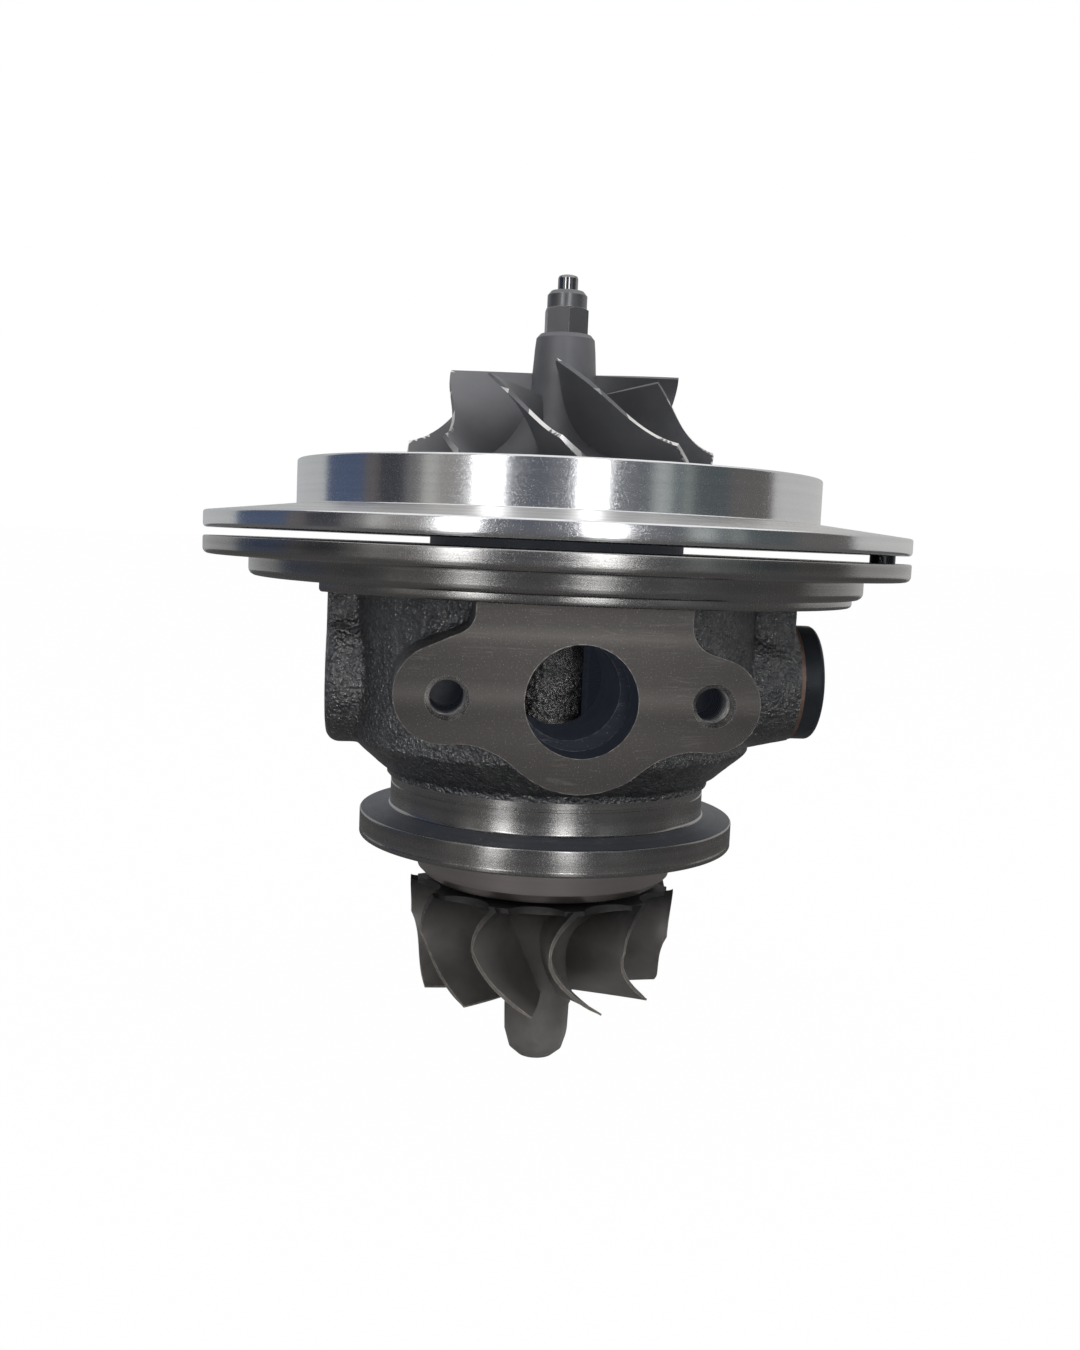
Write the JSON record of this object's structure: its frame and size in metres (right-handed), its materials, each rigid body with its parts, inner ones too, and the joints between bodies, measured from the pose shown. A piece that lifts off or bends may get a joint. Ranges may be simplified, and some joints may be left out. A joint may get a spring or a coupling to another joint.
{
  "type": "turbo cartridge",
  "caption": "Water-cooled turbocharger centre cartridge: bearing housing, backplate, floating bearings and a free-spinning rotor with compressor and turbine wheels.",
  "frame": {"origin": "on the rotor axis, at the shoulder of the backplate where the compressor cover seats", "axes": "+Z along the rotor axis toward the compressor end, -Y out of the oil drain, +X toward the plugged coolant port"},
  "size_m": [0.1158, 0.1158, 0.1328],
  "materials": {
    "housing_iron": "rough cast iron, machined bright on the flanges",
    "backplate_aluminium": "finely turned",
    "o_ring_rubber": "matte",
    "fastener_steel": "satin",
    "baffle_steel": "pressed sheet",
    "shield_steel": "pressed sheet, slightly heat tinted",
    "bearing_bronze": "fine turned bronze",
    "clip_steel": "spring wire",
    "seal_ring_iron": "ground",
    "plug_steel": "black oxide steel",
    "washer_copper": "dull copper",
    "shaft_steel": "ground",
    "turned_steel": "turned",
    "turbine_alloy": "cast nickel alloy, brown grey",
    "compressor_aluminium": "cast aluminium, machined edges",
    "nut_steel": "dark steel"
  },
  "bodies": {
    "housing": {"bearing_housing": "housing_iron", "backplate": "backplate_aluminium", "backplate_screws": "fastener_steel", "backplate_o_ring": "o_ring_rubber", "locating_pin": "fastener_steel", "oil_baffle": "baffle_steel", "thrust_bearing": "bearing_bronze", "thrust_bearing_pins": "fastener_steel", "compressor_seal_ring": "seal_ring_iron", "turbine_seal_ring": "seal_ring_iron", "compressor_bearing_clips": "clip_steel", "turbine_bearing_clips": "clip_steel", "heat_shield": "shield_steel", "coolant_plug": "plug_steel", "coolant_plug_washer": "washer_copper"},
    "rotor": {"rotor_shaft": "shaft_steel", "turbine_wheel": "turbine_alloy", "thrust_washer": "turned_steel", "thrust_collar": "turned_steel", "oil_flinger": "turned_steel", "compressor_wheel": "compressor_aluminium", "compressor_nut": "nut_steel"},
    "compressor_bearing": {"compressor_journal_bearing": "bearing_bronze"},
    "turbine_bearing": {"turbine_journal_bearing": "bearing_bronze"}
  },
  "joints": [
    {"name": "rotor_spin", "type": "hinge", "parent": "housing", "child": "rotor", "pos_m": [0, 0, 0], "axis": [0, 0, 1], "continuous": true},
    {"name": "compressor_bearing_float", "type": "hinge", "parent": "housing", "child": "compressor_bearing", "pos_m": [0, 0, -0.0145], "axis": [0, 0, 1], "continuous": true},
    {"name": "turbine_bearing_float", "type": "hinge", "parent": "housing", "child": "turbine_bearing", "pos_m": [0, 0, -0.0398], "axis": [0, 0, 1], "continuous": true}
  ]
}
